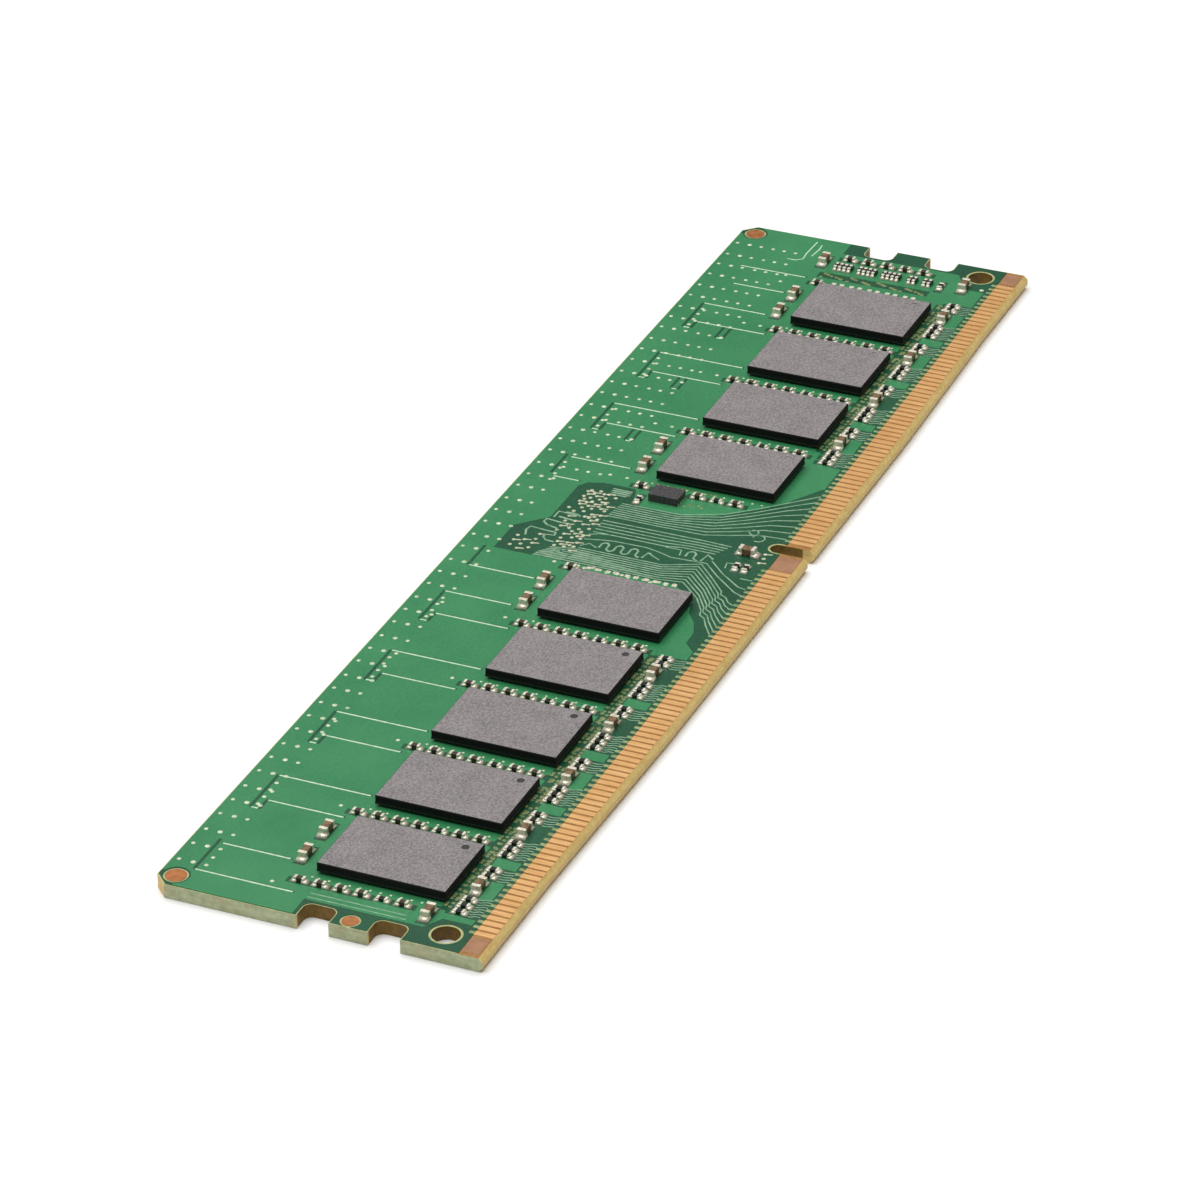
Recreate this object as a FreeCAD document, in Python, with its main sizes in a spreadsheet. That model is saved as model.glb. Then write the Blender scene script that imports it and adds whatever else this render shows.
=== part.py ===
import FreeCAD, Part
import math
import os
import re

import Sketcher

# A desktop memory module lying on its back, chips up.  +X runs along the board to its last
# contact, +Y from the contact edge to the top edge, +Z out of the chip side.  The origin is
# the middle of the board's outline, on its underside.

doc = FreeCAD.newDocument("memory_module")
sheet = doc.addObject("Spreadsheet::Sheet", "Dimensions")
V = FreeCAD.Vector

# ---------------------------------------------------------------- driving dimensions, mm

DIMENSIONS = {
    # board outline
    "board_length": 133.35,
    "board_height": 31.25,
    "board_thickness": 1.40,
    "corner_cut": 1.25,
    "edge_bevel": 0.38,
    # contact edge: both ends stand back from its middle
    "edge_step": 0.50,
    "edge_flat_end": 53.125,
    "near_slope_start": 27.625,
    "far_slope_start": 30.175,
    # latch notches, one pair at each end
    "notch_depth": 2.10,
    "notch_opening": 3.00,
    "low_notch_rise": 8.00,
    "high_notch_rise": 14.60,
    "notch_radius": 0.75,
    # holes in the lower corners
    "hole_diameter": 2.50,
    "hole_rise": 4.80,
    "hole_inset": 2.20,
    # key slot, measured from the near end
    "key_from_end": 72.25,
    "key_width": 1.50,
    "key_depth": 4.00,
    # solder mask
    "mask_thickness": 0.04,
    "mask_pullback": 0.10,
    "mask_rise": 2.68,
    "mask_clearance": 0.22,
    "mark_clearance": 0.16,
    # contacts
    "contact_pitch": 0.85,
    "contact_width": 0.60,
    "first_contact": 3.35,
    "near_contacts": 77,
    "far_contacts": 67,
    "contact_gap": 5.95,
    # alignment marks
    "corner_mark": 1.90,
    "corner_mark_inset": 1.60,
    "side_mark": 1.50,
    "side_mark_inset": 0.95,
    "side_mark_rise": 13.00,
    "mark_thickness": 0.035,
    # memory chips
    "chip_width": 8.00,
    "chip_length": 12.00,
    "chip_pitch": 11.43,
    "near_chip_start": -56.35,
    "far_chip_start": 17.10,
    "chip_row": -2.90,
    "ball_height": 0.28,
    "ball_radius": 0.22,
    "ball_pitch": 0.80,
    "carrier_thickness": 0.22,
    "cap_thickness": 0.65,
    "die_width": 5.60,
    "die_length": 8.80,
    "die_thickness": 0.30,
    "pin_mark_diameter": 0.70,
    "pin_mark_depth": 0.04,
    "pin_mark_side": 1.05,
    "pin_mark_rise": 1.35,
    # configuration memory
    "config_width": 2.00,
    "config_length": 3.00,
    "config_thickness": 0.80,
    "config_across": 10.25,
    "config_up": 0.80,
    "lead_width": 0.26,
    "lead_length": 0.42,
    "lead_thickness": 0.16,
    "lead_pitch": 0.50,
    # small two-ended parts, 1.0 x 0.5
    "small_length": 1.00,
    "small_width": 0.50,
    "small_capacitor_rise": 0.50,
    "small_resistor_rise": 0.35,
    "small_terminal": 0.25,
    # large two-ended capacitors, 1.6 x 0.8
    "large_length": 1.60,
    "large_width": 0.80,
    "large_rise": 0.80,
    "large_terminal": 0.35,
    # resistor arrays
    "array_pitch": 0.50,
    "array_terminal_width": 0.32,
    "array_depth": 1.00,
    "array_rise": 0.42,
    "array_terminal": 0.22,
    "plating": 0.03,
    # columns of small parts beside the chips
    "column_offset": -5.60,
    "column_pitch": 1.92,
    "column_top": 3.90,
    "lone_column_offset": 5.50,
    "spare_column_offset": 6.20,
    "spare_pad": 0.45,
    "spare_pad_spread": 0.85,
    "pad_thickness": 0.03,
    # groups of parts above the contacts
    "group_start": -57.20,
    "group_far_start": 26.30,
    "group_pitch": 9.35,
    "group_row": -10.55,
    "group_step": 1.00,
    # large capacitors above the end chips of each row
    "large_row": 5.20,
    "large_row_near": -1.80,
    "large_row_far": 2.25,
    # termination parts at the far end
    "array_column": 61.05,
    "end_column": 62.95,
    "end_column_top": 2.70,
    "end_column_pitch": 2.00,
}

NEAR_CHIPS = 5
FAR_CHIPS = 4

# Places on the board's face that follow no row: across, up, and whether turned along Y.
LONE_LARGE_CAPACITORS = [
    (-62.40, -8.25, False),
    (3.45, -10.20, True),
    (61.80, 5.10, False),
    (61.60, -10.10, False),
]
CONTROL_RESISTORS = [
    (0.75, -10.15, False),
    (0.75, -11.10, False),
    (9.00, 3.20, False),
    (60.90, -7.85, False),
]

# Middles of the resistor arrays up the far end's column, by the elements in each.
ARRAY_HEIGHTS = {4: (2.75, 0.15, -2.45), 2: (-4.75, -6.35)}

for row, (alias, number) in enumerate(DIMENSIONS.items(), start=1):
    sheet.set(f"A{row}", alias)
    sheet.set(f"B{row}", str(number))
    sheet.setAlias(f"B{row}", alias)
doc.recompute()


def size(alias):
    """A driving dimension, as a number."""
    return float(sheet.get(alias))


def formula(text):
    """The text of a formula, with its words made references to the sheet."""
    return re.sub(r"[a-z]+(?:_[a-z]+)*",
                  lambda word: "Dimensions." + word.group(0) if word.group(0) in DIMENSIONS
                  else word.group(0), text)


def bind(item, **properties):
    """Drive an object's properties with formulas on the sheet."""
    for name, text in properties.items():
        item.setExpression(name, formula(text))


# ---------------------------------------------------------------- sketches and features

def new_body(label):
    body = doc.addObject("PartDesign::Body", label)
    body.Label = label
    body.AllowCompound = True
    return body


def new_sketch(body, name, height="0"):
    """A sketch parallel to the body's own XY plane, lifted by a formula."""
    sketch = body.newObject("Sketcher::SketchObject", name)
    plane = next(item for item in body.Origin.OriginFeatures if item.Role == "XY_Plane")
    sketch.AttachmentSupport = [(plane, "")]
    sketch.MapMode = "FlatFace"
    if height != "0":
        sketch.setExpression("AttachmentOffset.Base.z", formula(height))
    return sketch


def fix_point(sketch, shape, end, across, up):
    """Hold a point of the sketch at two formulas, measured from the sketch's origin."""
    for kind, text in (("DistanceX", across), ("DistanceY", up)):
        start = sheet.evalExpression(formula(text))
        number = sketch.addConstraint(Sketcher.Constraint(kind, -1, 1, shape, end, start))
        sketch.setExpression(f"Constraints[{number}]", formula(text))


def draw_outline(sketch, corners):
    """A closed outline of straight edges through corners given as pairs of formulas."""
    points = [V(*(sheet.evalExpression(formula(text)) for text in corner), 0)
              for corner in corners]
    first = sketch.GeometryCount
    for start, end in zip(points, points[1:] + points[:1]):
        sketch.addGeometry(Part.LineSegment(start, end), False)
    for index, (across, up) in enumerate(corners):
        following = first + (index + 1) % len(corners)
        sketch.addConstraint(Sketcher.Constraint("Coincident", first + index, 2, following, 1))
        fix_point(sketch, first + index, 1, across, up)


def draw_box(sketch, left, low, right, high):
    draw_outline(sketch, [(left, low), (right, low), (right, high), (left, high)])


def draw_circle(sketch, across, up, radius):
    centre = V(sheet.evalExpression(formula(across)), sheet.evalExpression(formula(up)), 0)
    start = sheet.evalExpression(formula(radius))
    index = sketch.addGeometry(Part.Circle(centre, V(0, 0, 1), start), False)
    fix_point(sketch, index, 3, across, up)
    number = sketch.addConstraint(Sketcher.Constraint("Radius", index, start))
    sketch.setExpression(f"Constraints[{number}]", formula(radius))


def pad(body, sketch, name, length):
    feature = body.newObject("PartDesign::Pad", name)
    feature.Profile = sketch
    bind(feature, Length=length)
    sketch.Visibility = False
    doc.recompute()
    return feature


def pocket(body, sketch, name, depth=None, upwards=True):
    """Cut a sketch out of the body, through all of it or to a depth."""
    before = body.Shape.Volume
    feature = body.newObject("PartDesign::Pocket", name)
    feature.Profile = sketch
    feature.Reversed = upwards
    if depth is None:
        feature.Type = "ThroughAll"
    else:
        bind(feature, Length=depth)
    doc.recompute()
    if body.Shape.Volume >= before:
        raise RuntimeError(f"{name} of {body.Label} cuts nothing")
    return feature


def row_of_cuts(body, sketch, cut, name, count, pitch):
    """Repeat a pocket along the sketch's own X axis."""
    feature = body.newObject("PartDesign::LinearPattern", name)
    feature.Originals = [cut]
    feature.Direction = (sketch, ["H_Axis"])
    feature.Mode = "Spacing"
    bind(feature, Offset=pitch, Occurrences=count)
    body.Tip = feature
    doc.recompute()
    return feature


def stand_at(item, height):
    """Lift a finished piece to its level on the board."""
    item.setExpression("Placement.Base.z", formula(height))


# ---------------------------------------------------------------- the board

LOW_EDGE = "-board_height/2"
KEY = "(key_from_end - board_length/2)"
HOLE_UP = "(hole_rise - board_height/2)"
TOP = "board_thickness"


def end_steps(side, inset):
    """The corners of one end's two latch notches, from the lower notch up."""
    edge = f"{side}*(board_length/2 - {inset})"
    floor = f"{side}*(board_length/2 - notch_depth - {inset})"
    steps = []
    for rise in ("low_notch_rise", "high_notch_rise"):
        low = f"{rise} - {inset} - board_height/2"
        high = f"{rise} + notch_opening + {inset} - board_height/2"
        steps += [(edge, low), (floor, low), (floor, high), (edge, high)]
    return steps


def outline(inset, contact_side):
    """The board's outline, drawn in by inset, closed along the contact side."""
    half = f"(board_length/2 - {inset})"
    top = f"(board_height/2 - {inset})"
    far_corner = [(half, f"{top} - corner_cut"), (f"{half} - corner_cut", top)]
    near_corner = [(f"corner_cut - {half}", top), (f"-{half}", f"{top} - corner_cut")]
    near_steps = end_steps("-1", inset)[::-1]
    return contact_side + end_steps("1", inset) + far_corner + near_corner + near_steps


def contact_edge(back):
    """The contact side's corners from the near end to the far end, standing back by back."""
    low = f"{LOW_EDGE} + {back}"
    stepped = f"{LOW_EDGE} + edge_step + {back}"
    return [("-edge_flat_end", stepped), ("-near_slope_start", low),
            ("far_slope_start", low), ("edge_flat_end", stepped)]


def notch_corner_edges(shape, inset):
    """The names of the upright edges in the notches' inner corners."""
    depth = size("board_length") / 2 - size("notch_depth") - inset
    names = []
    for number, edge in enumerate(shape.Edges, start=1):
        ends = [vertex.Point for vertex in edge.Vertexes]
        if len(ends) == 2 and abs(ends[0].z - ends[1].z) > 1e-6:
            if abs(abs(ends[0].x) - depth) < 1e-4 and abs(abs(ends[1].x) - depth) < 1e-4:
                names.append(f"Edge{number}")
    return names


def round_notches(body, inset, radius):
    base = body.Tip
    names = notch_corner_edges(base.Shape, sheet.evalExpression(formula(inset)))
    fillet = body.newObject("PartDesign::Fillet", "NotchCorners")
    fillet.Base = (base, names)
    bind(fillet, Radius=radius)
    doc.recompute()


def make_board():
    """Laminate: outline, holes and key slot, rounded notches, bevelled contact edge."""
    body = new_body("circuit_board")
    sketch = new_sketch(body, "BoardOutline")
    ends = [("-board_length/2", f"{LOW_EDGE} + edge_step"), *contact_edge("0"),
            ("board_length/2", f"{LOW_EDGE} + edge_step")]
    draw_outline(sketch, outline("0", ends))
    pad(body, sketch, "BoardPad", "board_thickness - 2*mask_thickness")

    sketch = new_sketch(body, "HolesAndKeyEnd")
    for side in ("-1", "1"):
        draw_circle(sketch, f"{side}*(board_length/2 - hole_inset)", HOLE_UP, "hole_diameter/2")
    draw_circle(sketch, KEY, f"{LOW_EDGE} + key_depth - key_width/2", "key_width/2")
    pocket(body, sketch, "HolesAndKeyEndCut")

    sketch = new_sketch(body, "KeySlot")
    draw_box(sketch, f"{KEY} - key_width/2", f"{LOW_EDGE} - 1",
             f"{KEY} + key_width/2", f"{LOW_EDGE} + key_depth - key_width/2")
    pocket(body, sketch, "KeySlotCut")
    round_notches(body, "0", "notch_radius")

    base = body.Tip
    level = size("edge_step") - size("board_height") / 2
    names = []
    for number, edge in enumerate(base.Shape.Edges, start=1):
        ends = [vertex.Point for vertex in edge.Vertexes]
        if max(end.y for end in ends) < level + 1e-4 and abs(ends[0].z - ends[-1].z) < 1e-6:
            if abs(ends[0].x - ends[-1].x) > size("key_width") + 1e-4:
                names.append(f"Edge{number}")
    bevel = body.newObject("PartDesign::Chamfer", "ContactBevel")
    bevel.Base = (base, names)
    bind(bevel, Size="edge_bevel")
    doc.recompute()
    stand_at(body, "mask_thickness")
    return body


def make_mask(label, level, marked):
    """One face's solder mask, open at the holes, the key slot, the marks and the contacts."""
    body = new_body(label)
    sketch = new_sketch(body, "MaskOutline")
    side = "(board_length/2 - mask_pullback)"
    low = f"{LOW_EDGE} + mask_rise"
    draw_outline(sketch, outline("mask_pullback", [(f"-{side}", low), (side, low)]))
    pad(body, sketch, "MaskPad", "mask_thickness")

    sketch = new_sketch(body, "MaskOpenings")
    for side in ("-1", "1"):
        draw_circle(sketch, f"{side}*(board_length/2 - hole_inset)", HOLE_UP,
                    "hole_diameter/2 + mask_clearance")
    draw_circle(sketch, KEY, f"{LOW_EDGE} + key_depth - key_width/2",
                "key_width/2 + mask_clearance")
    if marked:
        for across, up, diameter in ALIGNMENT_MARKS:
            draw_circle(sketch, across, up, f"{diameter}/2 + mark_clearance")
    pocket(body, sketch, "MaskOpeningsCut")

    sketch = new_sketch(body, "KeyOpening")
    draw_box(sketch, f"{KEY} - key_width/2 - mask_clearance", f"{LOW_EDGE} - 1",
             f"{KEY} + key_width/2 + mask_clearance", f"{LOW_EDGE} + key_depth - key_width/2")
    pocket(body, sketch, "KeyOpeningCut")
    round_notches(body, "mask_pullback", "notch_radius + mask_pullback")
    stand_at(body, level)
    return body


ALIGNMENT_MARKS = [
    ("corner_mark_inset - board_length/2", "board_height/2 - corner_mark_inset", "corner_mark"),
    ("board_length/2 - corner_mark_inset", "board_height/2 - corner_mark_inset", "corner_mark"),
    ("side_mark_inset - board_length/2", "side_mark_rise - board_height/2", "side_mark"),
]


def make_marks():
    """Bare copper discs for lining the board up."""
    body = new_body("alignment_marks")
    sketch = new_sketch(body, "Discs")
    for across, up, diameter in ALIGNMENT_MARKS:
        draw_circle(sketch, across, up, f"{diameter}/2")
    pad(body, sketch, "DiscPad", "mark_thickness")
    stand_at(body, "board_thickness - mask_thickness")
    return body


def make_contacts(label, level):
    """One face's contacts: two gold strips along the edge, slotted into single fingers."""
    body = new_body(label)
    near_start = "(first_contact - contact_width/2 - board_length/2)"
    near_end = f"({near_start} + (near_contacts - 1)*contact_pitch + contact_width)"
    far_start = f"({near_end} + contact_gap - contact_width)"
    far_end = f"({far_start} + (far_contacts - 1)*contact_pitch + contact_width)"
    high = f"{LOW_EDGE} + mask_rise"
    edge = contact_edge("edge_bevel")
    sketch = new_sketch(body, "GoldStrips")
    stepped = edge[0][1]
    draw_outline(sketch, [(near_start, stepped), edge[0], edge[1], (near_end, edge[1][1]),
                          (near_end, high), (near_start, high)])
    draw_outline(sketch, [(far_start, edge[2][1]), edge[2], edge[3], (far_end, stepped),
                          (far_end, high), (far_start, high)])
    pad(body, sketch, "StripPad", "mask_thickness")
    for name, start, count in (("Near", near_start, "near_contacts - 1"),
                               ("Far", far_start, "far_contacts - 1")):
        sketch = new_sketch(body, f"{name}Gap")
        draw_box(sketch, f"{start} + contact_width", f"{LOW_EDGE} - 1",
                 f"{start} + contact_pitch", f"{high} + 1")
        cut = pocket(body, sketch, f"{name}GapCut")
        row_of_cuts(body, sketch, cut, f"{name}Gaps", count, "contact_pitch")
    stand_at(body, level)
    return body


# ---------------------------------------------------------------- memory chips

def make_chip_cap(label, across):
    """Moulded cap, hollow beneath for the die, with a shallow dot by its first ball."""
    body = new_body(label)
    sketch = new_sketch(body, "CapOutline")
    draw_box(sketch, "-chip_width/2", "-chip_length/2", "chip_width/2", "chip_length/2")
    pad(body, sketch, "CapPad", "cap_thickness")
    sketch = new_sketch(body, "DieSeat")
    draw_box(sketch, "-die_width/2", "-die_length/2", "die_width/2", "die_length/2")
    pocket(body, sketch, "DieSeatCut", "die_thickness")
    sketch = new_sketch(body, "PinMark", "cap_thickness")
    draw_circle(sketch, "chip_width/2 - pin_mark_side", "pin_mark_rise - chip_length/2",
                "pin_mark_diameter/2")
    pocket(body, sketch, "PinMarkCut", "pin_mark_depth", upwards=False)
    body.setExpression("Placement.Base.x", formula(across))
    body.setExpression("Placement.Base.y", formula("chip_row"))
    stand_at(body, f"{TOP} + ball_height + carrier_thickness")
    return body


def make_block(label, width, length, rise, across, up, level):
    """A plain rectangular piece centred on a point of the board."""
    block = doc.addObject("Part::Box", label)
    block.Label = label
    bind(block, Length=width, Width=length, Height=rise)
    block.setExpression("Placement.Base.x", formula(f"{across} - ({width})/2"))
    block.setExpression("Placement.Base.y", formula(f"{up} - ({length})/2"))
    block.setExpression("Placement.Base.z", formula(level))
    return block


def make_group(label, shapes):
    """Like pieces of one kind, each its own solid, kept together in one object."""
    group = doc.addObject("Part::Feature", label)
    group.Label = label
    group.Shape = Part.makeCompound(shapes)
    group.Placement = FreeCAD.Placement()
    return group


def moved(shape, across, up, level, turned=False):
    """A copy of a shape drawn about the origin, set on the board, turned a quarter or not."""
    copy = shape.copy()
    if turned:
        copy.rotate(V(0, 0, 0), V(0, 0, 1), 90)
    copy.translate(V(across, up, level))
    return copy


def make_balls(label, ball, across):
    """78 solder balls: thirteen rows of six, with a clear lane up the middle."""
    pitch = size("ball_pitch")
    columns = [side * step * pitch for side in (-1, 1) for step in (2, 3, 4)]
    rows = [step * pitch for step in range(-6, 7)]
    middle = size("board_thickness") + size("ball_height") / 2
    return make_group(label, [moved(ball.Shape, across + column, size("chip_row") + row, middle)
                              for row in rows for column in columns])


def make_ball_pattern():
    """A solder ball squashed flat where it meets the board and the chip."""
    ball = doc.addObject("Part::Sphere", "SolderBall")
    bind(ball, Radius="ball_radius", Angle1="-asin(ball_height/2/ball_radius)",
         Angle2="asin(ball_height/2/ball_radius)")
    doc.recompute()
    return ball


def chip_places():
    """Label and centre of every memory chip, first those before the middle of the board."""
    starts = ["near_chip_start"] * NEAR_CHIPS + ["far_chip_start"] * FAR_CHIPS
    steps = [*range(NEAR_CHIPS), *range(FAR_CHIPS)]
    return [(f"memory_chip_{number}", f"({start} + {step}*chip_pitch)")
            for number, (start, step) in enumerate(zip(starts, steps), start=1)]


def make_chips():
    ball = make_ball_pattern()
    pieces = []
    for label, across in chip_places():
        centre = sheet.evalExpression(formula(across))
        pieces.append(make_balls(f"{label}_balls", ball, centre))
        pieces.append(make_block(f"{label}_carrier", "chip_width", "chip_length",
                                 "carrier_thickness", across, "chip_row",
                                 f"{TOP} + ball_height"))
        pieces.append(make_block(f"{label}_die", "die_width", "die_length", "die_thickness",
                                 across, "chip_row",
                                 f"{TOP} + ball_height + carrier_thickness"))
        pieces.append(make_chip_cap(f"{label}_cap", across))
    return pieces


def make_config_memory():
    """The small leadless memory: a moulded case with eight leads let into its bottom edges."""
    lead = make_block("ConfigLead", "lead_width", "lead_length", "lead_thickness", "0", "0", "0")
    doc.recompute()
    reach = (size("config_length") - size("lead_length")) / 2
    across, up = size("config_across"), size("config_up")
    leads = [moved(lead.Shape, across + (step - 1.5) * size("lead_pitch"), up + side * reach,
                   size("board_thickness"))
             for side in (-1, 1) for step in range(4)]
    lead_group = make_group("config_memory_leads", leads)
    whole = make_block("ConfigBlock", "config_width", "config_length", "config_thickness",
                       "config_across", "config_up", TOP)
    case = doc.addObject("Part::Cut", "config_memory_case")
    case.Label = "config_memory_case"
    case.Base = whole
    case.Tool = lead_group
    return [case, lead_group]


# ---------------------------------------------------------------- small parts

def part_pattern(name, length, width, rise, terminal):
    """The core and the two plated ends of a two-ended part lying along X at the origin."""
    core = make_block(f"{name}Core", f"{length} - 2*plating", f"{width} - 2*plating",
                      f"{rise} - 2*plating", "0", "0", "plating")
    ends = []
    for side, word in (("-1", "Near"), ("1", "Far")):
        block = make_block(f"{name}{word}Block", terminal, width, rise,
                           f"{side}*({length} - {terminal})/2", "0", "0")
        end = doc.addObject("Part::Cut", f"{name}{word}End")
        end.Base = block
        end.Tool = core
        ends.append(end)
    doc.recompute()
    return core, ends


def array_pattern(name, elements):
    """The core and the plated ends of a resistor array whose elements lie side by side in Y."""
    spread = f"(array_pitch*{elements})"
    core = make_block(f"{name}Core", "array_depth - 2*plating", spread,
                      "array_rise - 2*plating", "0", "0", "plating")
    ends = []
    for side, word in (("-1", "Near"), ("1", "Far")):
        for number in range(elements):
            up = f"({number} - ({elements} - 1)/2)*array_pitch"
            block = make_block(f"{name}{word}Block{number}", "array_terminal",
                               "array_terminal_width", "array_rise",
                               f"{side}*(array_depth - array_terminal)/2", up, "0")
            end = doc.addObject("Part::Cut", f"{name}{word}End{number}")
            end.Base = block
            end.Tool = core
            ends.append(end)
    doc.recompute()
    return core, ends


def place_parts(label, pattern, places):
    """Two groups from a pattern: the bodies, and the plated ends, at every place."""
    core, ends = pattern
    level = size("board_thickness")
    bodies = [moved(core.Shape, across, up, level, turned) for across, up, turned in places]
    terminals = [moved(end.Shape, across, up, level, turned)
                 for across, up, turned in places for end in ends]
    return [make_group(f"{label}_bodies", bodies), make_group(f"{label}_terminals", terminals)]


# Steps down a column of seven: which hold a capacitor, and which the calibration resistor.
CAPACITOR_STEPS = {1: (0, 1, 2, 3, 5), 6: (0, 3, 5)}
USUAL_CAPACITOR_STEPS = (0, 1, 2, 3, 5, 6)
RESISTOR_STEP = 4
SPARE_STEPS = range(1, 6)

# Where each group above the contacts has its resistors, in steps from its capacitor.
GROUP_RESISTORS = (-4, -3, -2, 1.9, 2.9)


def two_rows(near_start, far_start, pitch):
    """Places along the board for the near chips and then for the far chips."""
    near = [size(near_start) + step * size(pitch) for step in range(NEAR_CHIPS)]
    far = [size(far_start) + step * size(pitch) for step in range(FAR_CHIPS)]
    return near + far


def chip_centres():
    return two_rows("near_chip_start", "far_chip_start", "chip_pitch")


def row_end_centres():
    """The last chip before the middle of the board and the last one at the far end."""
    centres = chip_centres()
    return centres[NEAR_CHIPS - 1], centres[-1]


def column_height(step):
    return size("column_top") - step * size("column_pitch")


def column_places():
    """Places of the small capacitors and of the calibration resistors, lying along Y."""
    capacitors, resistors = [], []
    for number, centre in enumerate(chip_centres(), start=1):
        across = centre + size("column_offset")
        steps = CAPACITOR_STEPS.get(number, USUAL_CAPACITOR_STEPS)
        capacitors += [(across, column_height(step), True) for step in steps]
        resistors.append((across, column_height(RESISTOR_STEP), True))
    capacitors += [(centre + size("lone_column_offset"), column_height(0), True)
                   for centre in row_end_centres()]
    return capacitors, resistors


def contact_row_places():
    """The row above the contacts: in each group three resistors, a capacitor, two resistors."""
    starts = two_rows("group_start", "group_far_start", "group_pitch")
    resistors = [(start + step * size("group_step"), size("group_row"), True)
                 for start in starts for step in GROUP_RESISTORS]
    capacitors = [(start, size("group_row"), False) for start in starts]
    return resistors, capacitors


def large_capacitor_places():
    """A pair above the first and last chip of each row, and those that stand alone."""
    centres = chip_centres()
    ends = (centres[0], centres[NEAR_CHIPS - 1], centres[NEAR_CHIPS], centres[-1])
    above_chips = [(centre + size(offset), size("large_row"), False)
                   for centre in ends for offset in ("large_row_near", "large_row_far")]
    return above_chips + LONE_LARGE_CAPACITORS


def spare_pad_places():
    """Both pads of each unused place in the columns beyond the last chips of the rows."""
    apart = size("spare_pad_spread") / 2
    return [(centre + size("spare_column_offset"), column_height(step) + side * apart)
            for centre in row_end_centres() for step in SPARE_STEPS for side in (-1, 1)]


def make_arrays():
    """The termination arrays, one above another: their bodies and their plated ends."""
    across, level = size("array_column"), size("board_thickness")
    bodies, terminals = [], []
    for elements, heights in ARRAY_HEIGHTS.items():
        core, ends = array_pattern(f"ArrayOf{elements}", elements)
        for up in heights:
            bodies.append(moved(core.Shape, across, up, level))
            terminals += [moved(end.Shape, across, up, level) for end in ends]
    return [make_group("termination_array_bodies", bodies),
            make_group("termination_array_terminals", terminals)]


def make_spare_pads():
    pattern = make_block("SparePad", "spare_pad", "spare_pad", "pad_thickness", "0", "0", "0")
    doc.recompute()
    return make_group("spare_pads", [moved(pattern.Shape, across, up, size("board_thickness"))
                                     for across, up in spare_pad_places()])


def make_small_parts():
    capacitor = part_pattern("SmallCapacitor", "small_length", "small_width",
                             "small_capacitor_rise", "small_terminal")
    resistor = part_pattern("SmallResistor", "small_length", "small_width",
                            "small_resistor_rise", "small_terminal")
    large = part_pattern("LargeCapacitor", "large_length", "large_width", "large_rise",
                         "large_terminal")
    column_capacitors, column_resistors = column_places()
    row_resistors, row_capacitors = contact_row_places()
    end_capacitors = [(size("end_column"),
                       size("end_column_top") - step * size("end_column_pitch"), True)
                      for step in range(5)]
    pieces = place_parts("decoupling_capacitor", capacitor, column_capacitors)
    pieces += place_parts("calibration_resistor", resistor, column_resistors)
    pieces += place_parts("data_resistor", resistor, row_resistors)
    pieces += place_parts("bulk_capacitor", large, row_capacitors + large_capacitor_places())
    pieces += place_parts("termination_capacitor", capacitor, end_capacitors)
    pieces += place_parts("control_resistor", resistor, CONTROL_RESISTORS)
    return pieces


# ---------------------------------------------------------------- the whole module

pieces = [
    make_board(),
    make_mask("solder_mask_front", "board_thickness - mask_thickness", True),
    make_mask("solder_mask_back", "0", False),
    make_marks(),
    make_contacts("contact_fingers_front", "board_thickness - mask_thickness"),
    make_contacts("contact_fingers_back", "0"),
]
pieces += make_chips()
pieces += make_config_memory()
pieces += make_small_parts()
pieces += make_arrays()
pieces.append(make_spare_pads())
doc.recompute()

faults = [item.Label for item in doc.Objects if {"Invalid", "Error"} & set(item.State)]
faults += [piece.Label for piece in pieces if piece.Shape.isNull() or not piece.Shape.isValid()]
if faults:
    raise RuntimeError(f"faulty pieces: {faults}")

os.makedirs("parts", exist_ok=True)
for piece in pieces:
    piece.Shape.exportStep(f"parts/{piece.Label}.step")
    box = piece.Shape.BoundBox
    print(f"{piece.Label}: {len(piece.Shape.Solids)} solids, volume {piece.Shape.Volume:.3f}, "
          f"X {box.XMin:.2f}..{box.XMax:.2f} Y {box.YMin:.2f}..{box.YMax:.2f} "
          f"Z {box.ZMin:.3f}..{box.ZMax:.3f}")
print(len(pieces), "pieces")
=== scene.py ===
import math

import bmesh
import bpy
from mathutils import Matrix, Vector


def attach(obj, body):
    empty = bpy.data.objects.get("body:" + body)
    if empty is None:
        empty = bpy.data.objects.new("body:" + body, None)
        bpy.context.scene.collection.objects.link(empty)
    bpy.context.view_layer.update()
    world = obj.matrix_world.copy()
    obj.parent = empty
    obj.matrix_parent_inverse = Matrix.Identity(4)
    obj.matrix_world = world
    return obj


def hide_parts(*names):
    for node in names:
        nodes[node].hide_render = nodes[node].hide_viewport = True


# A desktop memory module lying chips up.  X runs along the board to its last contact, Y from
# the contact edge to the top edge, Z out of the chip side.  Lengths are millimetres, and are
# made metres as each piece is finished.  Only the studio is given in metres.

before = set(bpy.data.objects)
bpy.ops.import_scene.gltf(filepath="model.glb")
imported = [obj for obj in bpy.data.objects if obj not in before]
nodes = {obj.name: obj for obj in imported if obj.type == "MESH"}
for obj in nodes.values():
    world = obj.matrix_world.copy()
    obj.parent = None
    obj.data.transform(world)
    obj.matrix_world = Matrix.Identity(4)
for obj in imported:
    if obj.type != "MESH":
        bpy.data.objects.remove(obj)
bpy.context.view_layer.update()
MM = 0.001


# ---------------------------------------------------------------- sizes and places

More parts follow.
